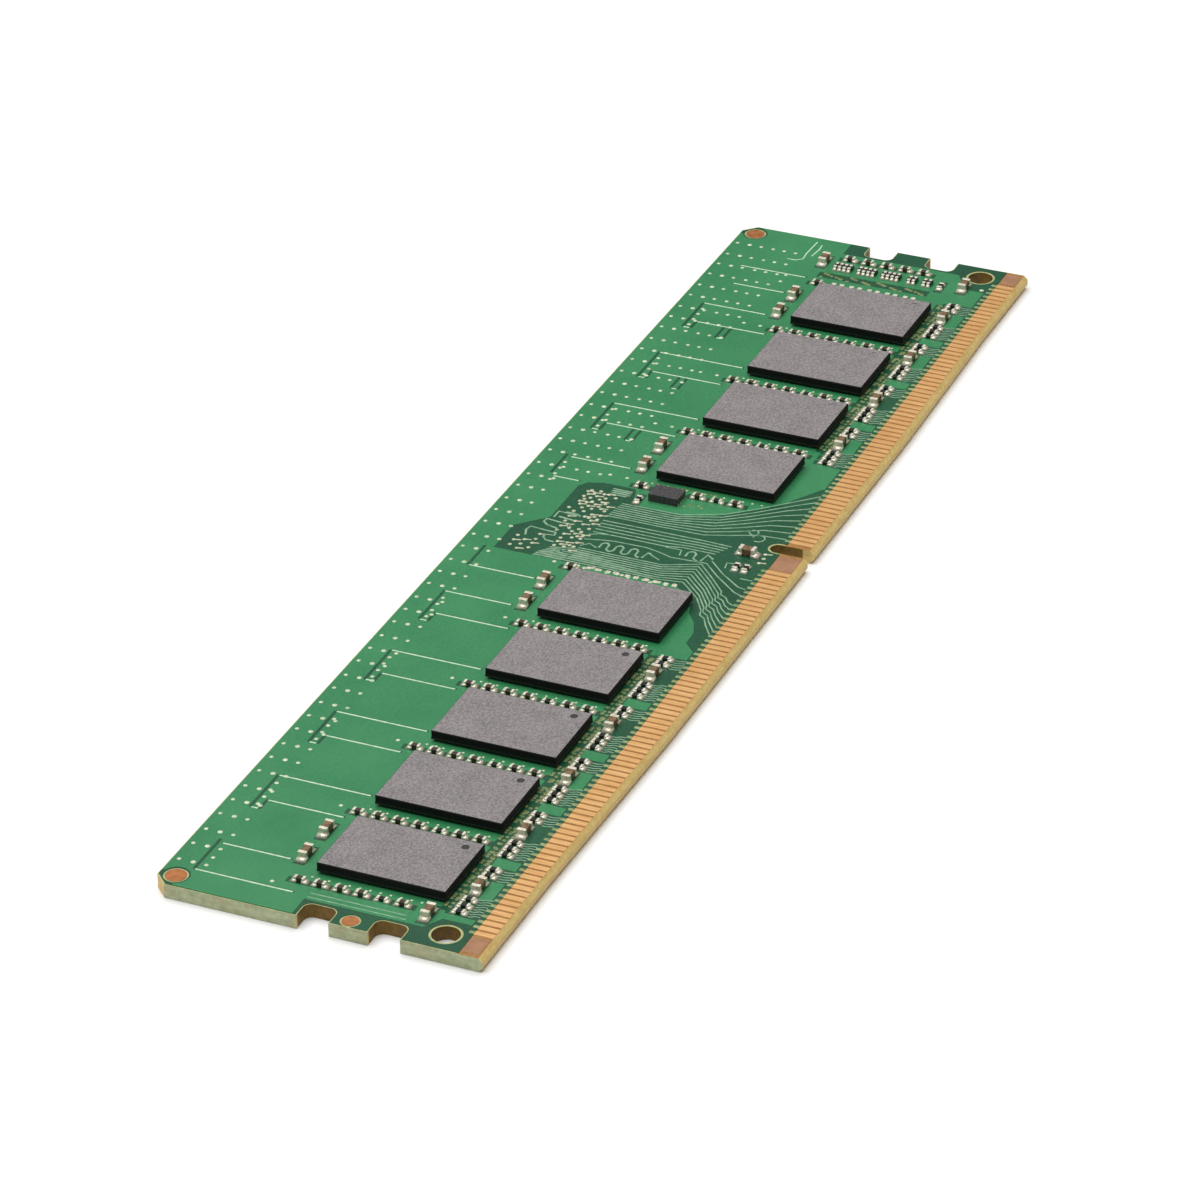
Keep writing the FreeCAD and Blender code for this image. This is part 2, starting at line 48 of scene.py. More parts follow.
END_WALL = 66.675    # half the board's length
CHIP_TOP = 2.55      # the chips' tops above the board's underside
FACE = 1.40          # top of the front solder mask
BACK_MASK = 0.04     # thickness of the back mask
BACK = 0.020         # the back mask's bare level; copper and vias reach down towards 0
POUR = 0.012         # how far copper lifts the mask
SUNK = 0.004         # how far a raised plate starts inside the mask
SIDE = 66.55         # the end edges of the copper
CREST = 15.52        # the top edge of the copper
SPLIT = 0.30         # width of the splits in the copper
MARK = (65.075, 14.025)    # the far top alignment mark; the near top one mirrors it
MARK_CLEAR = 1.30    # radius of the copper's gap about a mark
ARRAYS = 61.05       # the column of resistor arrays

CHIP_PITCH, GROUP_PITCH, CONTACT_PITCH, KEY_GAP = 11.43, 9.35, 0.85, 5.95
CHIPS = [-56.35 + CHIP_PITCH * step for step in range(5)]
CHIPS += [17.10 + CHIP_PITCH * step for step in range(4)]
GROUPS = [-57.20 + GROUP_PITCH * step for step in range(5)]    # groups of data resistors
GROUPS += [26.30 + GROUP_PITCH * step for step in range(4)]
CONTACTS = [-63.325 + CONTACT_PITCH * step for step in range(77)]
CONTACTS += [CONTACTS[-1] + KEY_GAP + CONTACT_PITCH * step for step in range(67)]
EDGE_BANDS = ((-61.3, -16.6), (24.2, 57.2))    # the stretches of chips with data resistors
DARK_DOTS = -15.2    # pin dots before this place along the board show dark

NECK_LOW, NECK_HIGH = -12.95, -12.45    # the necks' reach above the contacts
NECK_HALF, NECK_LIFT = 0.19, 0.022      # a neck's half width, and how far it lifts the mask

# Ridges in the mask: width, and height above their middle level.
SPLIT_LIP = (0.24, 0.018)
VIA_LINK = (0.22, 0.026)
MAIN_TRACE = (0.18, 0.020)
BOLD_TRACE = (0.27, 0.026)
FINE_TRACE = (0.13, 0.016)
BACK_TRACE = (0.15, 0.012)
BACK_TRACE_LEVEL = 0.016    # just below the back mask, which faces down

# Covered vias: foot radius, crown radius and height, which is below 0 where they hang.
LARGE_VIA = (0.28, 0.11, 0.050)
SMALL_VIA = (0.24, 0.09, 0.040)
CHIP_VIA = (0.17, 0.07, 0.032)
CROWD_VIA = (0.20, 0.10, 0.036)
COLUMN_VIA = (0.26, 0.13, 0.040)
EDGE_VIA = (0.21, 0.10, 0.030)
BACK_VIA = (0.22, 0.09, -BACK)
SMALL_BACK_VIA = (0.18, 0.08, -BACK)


# ---------------------------------------------------------------- finishes

class Wire:
    """A socket of a finish; arithmetic on wires adds maths nodes."""

    def __init__(self, finish, socket):
        self.finish = finish
        self.socket = socket

    def maths(self, operation, first, second=0.0):
        return self.finish.add("Math", {"operation": operation}, {0: first, 1: second})

    def __add__(self, other):
        return self.maths("ADD", self, other)

    def __sub__(self, other):
        return self.maths("SUBTRACT", self, other)

    def __rsub__(self, other):
        return self.maths("SUBTRACT", other, self)

    def __mul__(self, other):
        return self.maths("MULTIPLY", self, other)

    def __abs__(self):
        return self.maths("ABSOLUTE", self)

    def highest(self, other):
        return self.maths("MAXIMUM", self, other)

    __radd__ = __add__
    __rmul__ = __mul__


class Finish:
    """A material with one shader, whose plain numbers are set on the shader itself."""

    def __init__(self, name, **numbers):
        self.material = bpy.data.materials.new(name)
        self.material.use_nodes = True
        self.tree = self.material.node_tree
        self.shader = self.tree.nodes["Principled BSDF"]
        for socket, number in numbers.items():
            self.shader.inputs[socket.replace("_", " ")].default_value = number

    def add(self, kind, settings, sockets, output=0):
        """A new node: its settings first, then the values or wires of its sockets."""
        node = self.tree.nodes.new("ShaderNode" + kind)
        for name, setting in settings.items():
            setattr(node, name, setting)
        for name, value in sockets.items():
            self.feed(node.inputs[name], value)
        return Wire(self, node.outputs[output])

    def feed(self, socket, value):
        if isinstance(value, Wire):
            self.tree.links.new(value.socket, socket)
        else:
            socket.default_value = value

    def vary(self, socket, value):
        """Let one of the shader's sockets change over the surface."""
        self.feed(self.shader.inputs[socket], value)

    def place(self):
        return self.add("TexCoord", {}, {}, "Object")

    def facing(self, axis):
        """How far the surface faces along an axis of the module, from -1 to 1."""
        normal = self.add("TexCoord", {}, {}, "Normal")
        return self.add("SeparateXYZ", {}, {"Vector": normal}, axis)

    def along(self, axis):
        """The place along an axis of the module, in millimetres."""
        return self.add("SeparateXYZ", {}, {"Vector": self.place()}, axis) * (1 / MM)

    def grain(self, width, detail=2.0, stretch=(1, 1, 1)):
        """Cloudy noise, about 0 to 1, of a width in millimetres."""
        spread = self.add("Mapping", {}, {"Vector": self.place(), "Scale": stretch})
        return self.add("TexNoise", {}, {"Vector": spread, "Scale": 1 / (width * MM),
                                         "Detail": detail})

    def blend(self, share, first, second):
        """One colour turning into another as share goes from 0 to 1."""
        return self.add("Mix", {"data_type": "RGBA"}, {0: share, 6: first, 7: second}, 2)

    def between(self, wire, low, high):
        """A wire spread so that low becomes 0 and high becomes 1, and held there."""
        return self.add("MapRange", {}, {"Value": wire, "From Min": low, "From Max": high})

    def emboss(self, height, depth, strength=1.0):
        """Raise the surface by a wire from 0 to 1, by a depth in millimetres."""
        bump = self.add("Bump", {}, {"Height": height, "Distance": depth * MM,
                                     "Strength": strength})
        self.vary("Normal", bump)


def tone(red, green, blue):
    """A screen colour, 0 to 255, as the shader wants it."""
    return (*(((part / 255 + 0.055) / 1.055) ** 2.4 for part in (red, green, blue)), 1.0)


def weave(finish, pitch):
    """Glass cloth under a surface: crossed threads, 0 between and 1 on the crowns."""
    threads = []
    for axis in ("X", "Y"):
        across = finish.along(axis) * (2 * math.pi / pitch)
        threads.append(finish.add("Math", {"operation": "SINE"}, {0: across}))
    return finish.between(threads[0] * threads[1], -1.0, 1.0)


def mask_finish(name, deep, light, cloth):
    """Green solder mask: mottled, with the glass cloth just showing and dust specks."""
    finish = Finish(name, Roughness=0.36, IOR=1.45, Coat_Roughness=0.2)
    cloudy = finish.between(finish.grain(6.0, 3.0), 0.3, 0.7)
    fine = finish.between(finish.grain(0.35, 3.0), 0.25, 0.75)
    threads = weave(finish, 0.62)
    share = cloudy * 0.45 + fine * 0.3 + threads * cloth
    finish.vary("Base Color", finish.blend(share, deep, light))
    finish.vary("Roughness", 0.30 + fine * 0.14)
    finish.emboss(fine * 0.6 + threads * 0.4, 0.006, 0.5)
    return finish.material


def laminate_finish():
    """Glass-fibre laminate: grey-green ends, sandy long edges, and walls inside its cuts painted
    dark amber-brown as shade.

    Its flats, outside the mask and between the contacts, have tones of their own.
    """
    finish = Finish("laminate", Roughness=0.6, IOR=1.5)
    specks = finish.between(finish.grain(0.5, 3.0), 0.3, 0.7)
    fibres = finish.between(finish.grain(0.3, 2.0, (0.15, 0.15, 1.0)), 0.3, 0.7)
    mixed = specks * 0.6 + fibres * 0.4
    across, up = finish.along("X"), finish.along("Y")
    cuts_end, cuts_low, cuts_high, comb_top = END_WALL - 0.2, -14.6, 14.3, -12.6
    long_edge = finish.blend(mixed, tone(196, 164, 92), tone(222, 194, 124))
    end_edge = finish.blend(mixed, tone(142, 154, 114), tone(192, 198, 160))
    blotches = finish.between(finish.grain(1.6, 2.0), 0.5, 0.68)
    end_edge = finish.blend(blotches * 0.5, end_edge, tone(170, 158, 118))
    endwise = finish.between(abs(finish.facing("X")), 0.75, 0.95)
    endwise *= finish.between(abs(across), END_WALL - 0.6, END_WALL - 0.4)
    wall = finish.blend(endwise, long_edge, end_edge)
    # The walls inside the cuts are painted dark as shade in these recesses.
    inside = finish.between(cuts_end - abs(across), 0.0, 0.1)
    inside *= finish.between(up - cuts_low, 0.0, 0.1) * finish.between(cuts_high - up, 0.0, 0.1)
    wall = finish.blend(inside, wall, finish.blend(specks, tone(96, 72, 6), tone(128, 98, 20)))
    ledge = finish.blend(specks, tone(150, 158, 104), tone(188, 190, 136))
    comb = finish.blend(specks, tone(140, 96, 44), tone(172, 122, 60))
    flat = finish.blend(finish.between(comb_top - up, 0.0, 0.3), ledge, comb)
    level = finish.between(abs(finish.facing("Z")), 0.8, 0.95)
    finish.vary("Base Color", finish.blend(level, wall, flat))
    finish.vary("Roughness", 0.5 + specks * 0.2)
    finish.emboss(mixed, 0.012, 0.4)
    return finish.material


def gold_finish():
    """Gold plate with long faint streaks from sliding in a socket."""
    finish = Finish("gold_plate", Metallic=0.35, Roughness=0.3)
    streaks = finish.between(finish.grain(0.09, 2.0, (1.0, 0.04, 1.0)), 0.3, 0.7)
    cloudy = finish.between(finish.grain(2.5, 2.0), 0.3, 0.7)
    finish.vary("Base Color", finish.blend(streaks * 0.5 + cloudy * 0.4,
                                           tone(226, 166, 100), tone(246, 200, 138)))
    finish.vary("Roughness", 0.26 + streaks * 0.16)
    finish.emboss(streaks, 0.004, 0.4)
    return finish.material


def copper_finish():
    """Bare copper gone dull, with faint clouds."""
    finish = Finish("bare_copper", Metallic=0.5, Roughness=0.5)
    clouds = finish.between(finish.grain(0.7, 3.0), 0.3, 0.7)
    finish.vary("Base Color", finish.blend(clouds, tone(158, 96, 52), tone(190, 124, 72)))
    finish.vary("Roughness", 0.42 + clouds * 0.12)
    finish.emboss(clouds, 0.004, 0.4)
    return finish.material


def mould_finish():
    """Chip mould: black, with a speckled grey matt top whose lightness is a painted sheen, and, on
    chips 1 to 4, a dark pin dot.
    """
    finish = Finish("chip_mould", Roughness=0.7, IOR=1.5, Specular_IOR_Level=0.25)
    speckle = finish.between(finish.grain(0.2, 3.0), 0.34, 0.66)
    cloudy = finish.between(finish.grain(2.5, 2.0), 0.3, 0.7)
    top = finish.blend(speckle * 0.8 + cloudy * 0.2, tone(109, 104, 104), tone(154, 148, 147))
    # The top's speckled grey is the mould's speckle with a painted sheen on it, which lies on the
    # raised top, so not in its pin dot except where dots are faint.
    raised = finish.between(finish.along("Z"), CHIP_TOP - 0.035, CHIP_TOP - 0.015)
    faint = finish.between(finish.along("X"), DARK_DOTS - 0.2, DARK_DOTS + 0.2)
    painted_sheen = finish.between(finish.facing("Z"), 0.8, 0.97) * (raised.highest(faint) * 0.8 + 0.2)
    finish.vary("Base Color", finish.blend(painted_sheen, tone(9, 9, 10), top))
    finish.vary("Roughness", 0.6 + speckle * 0.2)
    finish.emboss(speckle, 0.010, 0.6)
    return finish.material


def plain_finish(name, dark, light, width, rough, metallic=0.0, depth=0.006):
    """A finish that wanders between two colours, with a matching grain to the touch."""
    finish = Finish(name, Metallic=metallic)
    clouds = finish.between(finish.grain(width, 3.0), 0.3, 0.7)
    finish.vary("Base Color", finish.blend(clouds, dark, light))
    finish.vary("Roughness", rough + clouds * 0.12)
    finish.emboss(clouds, depth, 0.5)
    return finish.material


BARE_MASK = mask_finish("mask_on_laminate", tone(10, 64, 40), tone(28, 92, 60), 0.25)
POUR_MASK = mask_finish("mask_on_copper", tone(40, 120, 74), tone(64, 142, 92), 0.1)
LAMINATE = laminate_finish()
GOLD = gold_finish()
COPPER = copper_finish()
MOULD = mould_finish()
SMALL_MOULD = plain_finish("small_chip_mould", tone(40, 38, 40), tone(74, 70, 72), 0.25, 0.5)
# The lips' pale colour is a painted highlight: the light caught by the mask's slope into each split.
LIP_HIGHLIGHT = plain_finish("split_lips_painted_highlight", tone(164, 206, 162), tone(204, 232, 200), 0.5, 0.26)
# Paler partly because mask over copper is paler, and partly as a painted glint of light on the mask
# lifted by each neck.
NECK_GLINT = plain_finish("mask_on_necks_glint", tone(112, 128, 78), tone(158, 172, 116), 0.4, 0.3)
# Paler partly because mask over copper is paler, and partly as a painted glint of light on the
# slopes of the raised traces.
TRACE_GLINT = plain_finish("mask_on_traces_glint", tone(104, 150, 116), tone(154, 186, 154), 0.6, 0.28)
HAZE = plain_finish("thin_mask", tone(56, 104, 74), tone(112, 142, 114), 0.7, 0.3)
# Pale partly because tented vias are paler, and partly as a painted glint of light on their domes.
VIA_GLINT = plain_finish("covered_vias", tone(172, 188, 148), tone(224, 230, 200), 0.4, 0.24)
# Pale partly because tented vias are paler, and partly as a painted glint of light on their domes
# and links.
CROWD_GLINT = plain_finish("crowded_vias", tone(160, 164, 130), tone(214, 212, 182), 0.3, 0.26)
OLIVE = plain_finish("chip_edge_vias", tone(74, 100, 50), tone(140, 148, 92), 0.22, 0.28)
PATCH = plain_finish("bare_patches", tone(146, 104, 74), tone(172, 124, 88), 0.9, 0.5)
TIN = plain_finish("bright_tin", tone(228, 218, 190), tone(255, 251, 236), 0.3, 0.26, 0.45)
BALL = plain_finish("solder_balls", tone(150, 150, 148), tone(196, 196, 192), 0.2, 0.26, 0.9)
CARRIER = plain_finish("chip_carrier", tone(5, 7, 6), tone(10, 13, 11), 0.3, 0.5)
SILICON = plain_finish("silicon", tone(40, 40, 48), tone(62, 62, 72), 0.5, 0.2, 0.4)
CERAMIC = plain_finish("large_ceramic", tone(84, 64, 42), tone(136, 108, 74), 0.3, 0.45)
DARK_CERAMIC = plain_finish("small_ceramic", tone(38, 27, 20), tone(68, 50, 38), 0.2, 0.42)
GLAZE = plain_finish("resistor_glaze", tone(12, 12, 13), tone(28, 27, 30), 0.25, 0.3)
FLOOR = plain_finish("studio_floor", tone(246, 246, 246), tone(250, 250, 250), 60.0, 0.85,
                     depth=0.0)


# ---------------------------------------------------------------- making pieces

def add_object(name, shape, material):
    """An object at the origin, made from a shape in metres."""
    mesh = bpy.data.meshes.new(name)
    shape.to_mesh(mesh)
    shape.free()
    mesh.materials.append(material)
    made = bpy.data.objects.new(name, mesh)
    bpy.context.scene.collection.objects.link(made)
    return made


def finish_piece(name, shape, material, stands_for=()):
    """Turn a shape drawn in millimetres into a piece of the module."""
    bmesh.ops.scale(shape, vec=(MM, MM, MM), verts=shape.verts)
    piece = add_object(name, shape, material)
    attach(piece, "root")
    if stands_for:
        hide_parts(*stands_for)


def copy_of(node):
    """A CAD node's shape in millimetres, its loose triangles joined and flats made whole."""
    shape = bmesh.new()
    shape.from_mesh(nodes[node].data)
    bmesh.ops.scale(shape, vec=(1 / MM, 1 / MM, 1 / MM), verts=shape.verts)
    bmesh.ops.remove_doubles(shape, verts=shape.verts, dist=0.002)
    bmesh.ops.dissolve_limit(shape, angle_limit=math.radians(2), verts=shape.verts,
                             edges=shape.edges)
    return shape


def soften(shape, radius, shortest=0.0, above=-1.0):
    """Round the outer edges that are longer than shortest and reach higher than above."""
    edges = [edge for edge in shape.edges
             if edge.is_convex and edge.calc_length() > shortest
             and max(vert.co.z for vert in edge.verts) > above
             and edge.calc_face_angle(0.0) > math.radians(40)]
    bmesh.ops.bevel(shape, geom=edges, offset=radius, offset_type="OFFSET", affect="EDGES",
                    segments=1, profile=0.5, material=-1, clamp_overlap=True)


def islands(node):
    """The low and high corners of every separate solid in a node, in order along the board."""
    shape = copy_of(node)
    left = set(shape.verts)
    boxes = []
    while left:
        found, front = set(), [left.pop()]
        while front:
            vert = front.pop()
            found.add(vert)
            for edge in vert.link_edges:
                other = edge.other_vert(vert)
                if other in left:
                    left.discard(other)
                    front.append(other)
        low = Vector(min(vert.co[axis] for vert in found) for axis in range(3))
        high = Vector(max(vert.co[axis] for vert in found) for axis in range(3))
        boxes.append((low, high))
    shape.free()
    return sorted(boxes, key=lambda box: tuple(box[0]))


def add_block(shape, low, high):
    """A rectangular block between two corners; returns its vertices."""
    low, high = Vector(low), Vector(high)
    matrix = Matrix.Translation((low + high) / 2) @ Matrix.Diagonal((*(high - low), 1))
    return bmesh.ops.create_cube(shape, size=1.0, matrix=matrix)["verts"]


def add_dome(shape, centre, size, segments=8):
    """A low cone with its point cut off, standing on centre, or hanging if height is below 0."""
    foot, crown, height = size
    middle = Vector(centre) + Vector((0, 0, height / 2))
    turn = Matrix.Diagonal((1, 1, math.copysign(1, height), 1))
    made = bmesh.ops.create_cone(shape, cap_ends=True, segments=segments, radius1=foot,
                                 radius2=crown, depth=abs(height),
                                 matrix=Matrix.Translation(middle) @ turn)
    if height < 0:
        faces = {face for vert in made["verts"] for face in vert.link_faces}
        bmesh.ops.reverse_faces(shape, faces=list(faces))


def plate(corners, level, thickness, windows=()):
    """A flat plate with the given corners and rectangular windows, standing on level."""
    shape = bmesh.new()
    shape.faces.new([shape.verts.new((*corner, level)) for corner in corners])
    for left, right, low, high in windows:
        cut_window(shape, left, right, low, high)
    bmesh.ops.recalc_face_normals(shape, faces=shape.faces)
    if shape.faces[:][0].normal.z > 0:
        bmesh.ops.reverse_faces(shape, faces=shape.faces)
    bmesh.ops.solidify(shape, geom=shape.faces, thickness=thickness)
    bmesh.ops.recalc_face_normals(shape, faces=shape.faces)
    return shape


def cut_window(shape, left, right, low, high):
    """Cut a rectangle out of a flat sheet."""
    planes = [((left, 0, 0), (1, 0, 0)), ((right, 0, 0), (1, 0, 0)),
              ((0, low, 0), (0, 1, 0)), ((0, high, 0), (0, 1, 0))]
    for point, normal in planes:
        faces = [face for face in shape.faces
                 if max(v.co.x for v in face.verts) > left
                 and min(v.co.x for v in face.verts) < right
                 and max(v.co.y for v in face.verts) > low
                 and min(v.co.y for v in face.verts) < high]
        edges = dict.fromkeys(edge for face in faces for edge in face.edges)
        verts = dict.fromkeys(vert for face in faces for vert in face.verts)
        bmesh.ops.bisect_plane(shape, geom=[*verts, *edges, *faces], dist=1e-5,
                               plane_co=point, plane_no=normal)
    inside = []
    for face in shape.faces:
        middle = face.calc_center_bounds()
        if left < middle.x < right and low < middle.y < high:
            inside.append(face)
    bmesh.ops.delete(shape, geom=inside, context="FACES")


def ridges(lines, size, level):
    """Rounded ridges along lines at one level, as one shape."""
    width, height = size
    curve = bpy.data.curves.new("ridge_lines", "CURVE")
    curve.dimensions = "3D"
    curve.bevel_depth = width / 2
    curve.bevel_resolution = 1
    curve.use_fill_caps = True
    for line in lines:
        spline = curve.splines.new("POLY")
        spline.points.add(len(line) - 1)
        for point, (across, up) in zip(spline.points, line):
            point.co = (across, up, 0, 1)
    holder = bpy.data.objects.new("ridge_lines", curve)
    mesh = bpy.data.meshes.new_from_object(holder)
    shape = bmesh.new()
    shape.from_mesh(mesh)
    bpy.data.objects.remove(holder)
    bpy.data.curves.remove(curve)
    bpy.data.meshes.remove(mesh)
    bmesh.ops.scale(shape, vec=(1, 1, height / (width / 2)), verts=shape.verts)
    bmesh.ops.translate(shape, vec=(0, 0, level), verts=shape.verts)
    return shape


def join(shapes):
    """Several shapes as one."""
    whole = bmesh.new()
    for shape in shapes:
        mesh = bpy.data.meshes.new("part")
        shape.to_mesh(mesh)
        shape.free()
        whole.from_mesh(mesh)
        bpy.data.meshes.remove(mesh)
    return whole


def arc(centre, radius, start, stop, steps=8):
    """Points along a circle, in degrees."""
    turns = [math.radians(start + (stop - start) * step / steps) for step in range(steps + 1)]
    return [(centre[0] + radius * math.cos(turn), centre[1] + radius * math.sin(turn))
            for turn in turns]


def fan(first, last, count):
    """Lines spread evenly between two lines with as many points."""
    shares = [step / (count - 1) for step in range(count)]
    return [[(ax + (bx - ax) * share, ay + (by - ay) * share)
             for (ax, ay), (bx, by) in zip(first, last)] for share in shares]


def meander(across, up, reach, period, turns):
    """A trace lengthened by rounded bends down the board."""
    line = []
    out, corner = across + reach, period * 0.17
    for turn in range(turns):
        top, middle = up - turn * period, up - (turn + 0.5) * period
        line += [(across + corner, top), (out - corner, top), (out, top - corner),
                 (out, middle + corner), (out - corner, middle), (across + corner, middle),
                 (across, middle - corner), (across, top - period + corner)]
    return line


# ---------------------------------------------------------------- the board's face

def copper_splits():
    """Splits across the board as place, low and high, and along it as left, right and place."""
    across = [(-63.6, 3.6, 13.05), (-59.1, 6.0, 12.7)]
    along = [(-63.6, -58.6, 13.05)]
    for number, chip in enumerate(CHIPS, start=1):
        if number in (1, 6):
            continue
        across += [(chip - 8.1, 12.15, 13.05), (chip - 6.6, 4.7, 12.15),
                   (chip - 2.6, 6.2 if number in (5, 9) else 4.0, 13.05)]
        along += [(chip - 8.1, chip - 2.6, 13.05), (chip - 8.1, chip - 6.6, 12.15)]
        if number > 6:
            along += [(chip - 9.1, chip - 6.6, 9.1), (chip - 9.1, chip - 6.6, 8.35)]
            across.append((chip - 9.1, 8.35, 9.1))
    across += [(-8.03, 6.2, 13.05), (10.4, 9.8, 12.7), (14.45, 6.2, 12.6), (53.95, 6.3, 12.0),
               (57.9, 5.5, 12.8)]
    along += [(-8.03, -4.2, 13.05), (10.9, 14.8, 13.05)]
    return across, along


CROSS_SPLITS, LONG_SPLITS = copper_splits()


def split_windows():
    """The splits as rectangles to cut out of the copper: left, right, low and high."""
    half = SPLIT / 2
    windows = [(across - half, across + half, low, high) for across, low, high in CROSS_SPLITS]
    windows += [(left, right, up - half, up + half) for left, right, up in LONG_SPLITS]
    return windows


def clear_strips_and_shade_windows():
    """Laminate clear of copper in the strips beside the soldered parts, and windows about each part
    whose dark bare mask is painted shade.
    """
    windows = [(left, right, -10.0, -8.75) for left, right in EDGE_BANDS]
    windows += [(61.4, 64.3, -12.4, -9.7),     # over the last contacts
                (58.5, 59.6, -7.2, 4.7)]       # beside the resistor arrays
    for group in GROUPS:
        windows += [(group - 4.5, group - 1.5, -12.6, -11.0),
                    (group + 1.4, group + 3.5, -12.6, -11.0)]
    # The window about each soldered part shows the dark bare mask as painted shade about the part.
    for kind in ("decoupling_capacitor", "bulk_capacitor", "termination_capacitor",
                 "data_resistor", "control_resistor"):
        for low, high in islands(f"{kind}_bodies"):
            lengthwise = high.x - low.x > high.y - low.y
            along, aside = (0.75, 0.2) if lengthwise else (0.2, 0.75)
            windows.append((low.x - along, high.x + along, low.y - aside, high.y + aside))
    return windows


NEAR_POUR = [(-SIDE, 2.4), (-64.2, 2.4), (-64.2, -8.6), (-62.5, -9.6), (-62.5, -12.3),
             (-14.8, -12.3), (-13.5, -11.1), (-11.5, -11.0), (-9.8, -10.3), (-8.5, -9.3),
             (-6.0, -8.5), (-4.2, -6.0), (-4.2, CREST), (-64.6, CREST),
             *arc((-MARK[0], MARK[1]), MARK_CLEAR, 75, -165), (-SIDE, 13.6)]
FAR_POUR = [(-4.2, 12.2), (0.3, 12.2), (3.0, 9.6), (9.5, 9.6), (10.4, 9.0), (10.9, 7.5),
            (10.9, 4.2), (8.3, 3.4), (7.9, 2.3), (8.0, -2.0), (9.0, -4.6), (10.5, -6.6),
            (13.0, -9.4), (17.5, -12.1), (17.5, -12.3), (62.5, -12.3), (62.5, -9.6),
            (64.2, -8.6), (64.2, 4.0), (SIDE, 4.0), (SIDE, 13.6),
            *arc(MARK, MARK_CLEAR, -15, -255), (64.6, CREST), (-4.2, CREST)]


def make_front_pours():
    """The mask where copper lies under it, in two plates with their splits and clear strips."""
    windows = split_windows() + clear_strips_and_shade_windows()
    plates = []
    for corners in (NEAR_POUR, FAR_POUR):
        xs = [corner[0] for corner in corners]
        own = [window for window in windows if window[0] < max(xs) and window[1] > min(xs)]
        plates.append(plate(corners, FACE - SUNK, POUR + SUNK, own))
    finish_piece("copper_pours_front", join(plates), POUR_MASK)


def make_split_lips():
    """The mask that has run into each split across the board, coloured pale as a painted highlight
    where it catches the light.
    """
    lines = [[(across, low + 0.15), (across, high - 0.1)] for across, low, high in CROSS_SPLITS]
    lines += [[(65.7, 7.4), (63.0, 7.5), (61.6, 7.4), (61.1, 8.0), (61.1, 8.9)],
              [(65.2, 6.7), (64.2, 6.6), (62.5, 6.8)]]
    finish_piece("pour_split_lips", ridges(lines, SPLIT_LIP, FACE), LIP_HIGHLIGHT)


def stray(step, reach):
    """A small unevenness that repeats every eleven steps."""
    return ((step * 7) % 11 - 5) / 5 * reach


def via_places():
    """Covered vias: the large row along the top, and the small ones about it and the chips."""
    top = [-62.6 + 2.5 * step + stray(step, 0.12) for step in range(51)]
    large = [(across, 13.6) for across in top]
    small = [(across, up) for up in (14.95, 12.35) for across in top]
    small += [(across, up) for up in (11.0, 9.8, 8.55) for across in top if across > 9.9]
    for chip in CHIPS[1:]:
        small += [(chip - 7.45 + 1.2 * step, 12.62) for step in range(4)]
    small += [(-62.8, 6.1), (-49.9, 5.9), (-38.4, 5.9), (-27.0, 5.9), (-15.5, 5.9), (-4.5, 5.9),
              (12.6, 5.9), (23.6, 5.9), (35.0, 5.9), (46.3, 5.9), (12.6, 7.65), (23.6, 7.65),
              (35.0, 7.65), (46.3, 7.65), (56.1, 7.65), (57.6, 7.65), (-61.45, 12.35),
              (61.9, -11.9)]
    return large, small


# The crowd of vias where the middle traces begin: each row's place up the board, then its
# vias' places along it.
CROWD_ROWS = {
    11.05: (-3.1, -2.15, -1.25),
    10.15: (-3.5, -2.65, -1.75),
    9.20: (-3.0, -2.1, -1.3, -0.3),
    8.75: (5.4,),
    8.30: (6.9, 7.9, 8.9),
    8.05: (1.0, 1.9, 2.9, 3.9, 4.9, 6.4, 7.4, 8.4, 9.2),
    7.60: (2.4, 5.8, 6.9, 7.8, 8.8),
    7.15: (-1.7, -0.9, -0.2, 0.6, 1.8, 3.2, 5.2, 6.3, 7.2, 8.3, 9.3),
    6.65: (-1.3, 1.3, 4.3, 5.9, 6.8, 7.8, 8.9),
    6.20: (-1.6, -0.8, 0.2, 1.0, 1.9, 2.9, 4.2, 4.9, 6.5, 7.4, 8.2, 9.0),
    5.80: (-1.2, 0.6, 1.5, 3.8, 4.6, 6.2, 7.2),
    5.35: (-2.1, -1.3, -0.5, 0.3, 1.0, 2.3, 3.3, 4.2, 5.0, 5.9, 6.8, 8.6),
}


def via_field():
    """The crowd of vias, and three by the key slot."""
    places = [(across, up) for up, row in CROWD_ROWS.items() for across in row]
    return places + [(2.4, -11.75), (3.3, -11.85), (4.1, -11.7)]


def chip_vias():
    """Vias by each chip's top corner and down its near side."""
    places = []
    for number, chip in enumerate(CHIPS, start=1):
        places.append((chip - 4.55, 3.25))
        if number in (2, 3, 4, 7, 8):
            places.append((chip - 4.55, 2.35))
        places += [(chip - 4.62, 2.6 - 0.96 * step) for step in range(12)]
    return places


def chip_edge_vias():
    """Close, uneven rows of vias between the chips and their data resistors."""
    places = []
    for left, right in EDGE_BANDS:
        for row, up in enumerate((-9.05, -9.42, -9.78)):
            for step in range(round((right - left) / 0.5)):
                if (step * (row + 2)) % 7:
                    places.append((left + 0.3 + 0.5 * step + stray(step * (row + 1), 0.17),
                                   up + stray(step * 3 + row, 0.15)))
    return places


def scattered_vias():
    """Vias in the band beside the resistor arrays and about the configuration memory."""
    places = [(59.05 + stray(step * 3, 0.42), 4.4 - 0.26 * step + stray(step * 5, 0.14))
              for step in range(44) if step % 6 != 4]
    places += [(12.6 + stray(step, 0.1), 3.2 - 0.5 * step) for step in range(14)]
    places += [(9.9 + stray(step, 0.3), -1.2 - 0.42 * step) for step in range(5)]
    return places


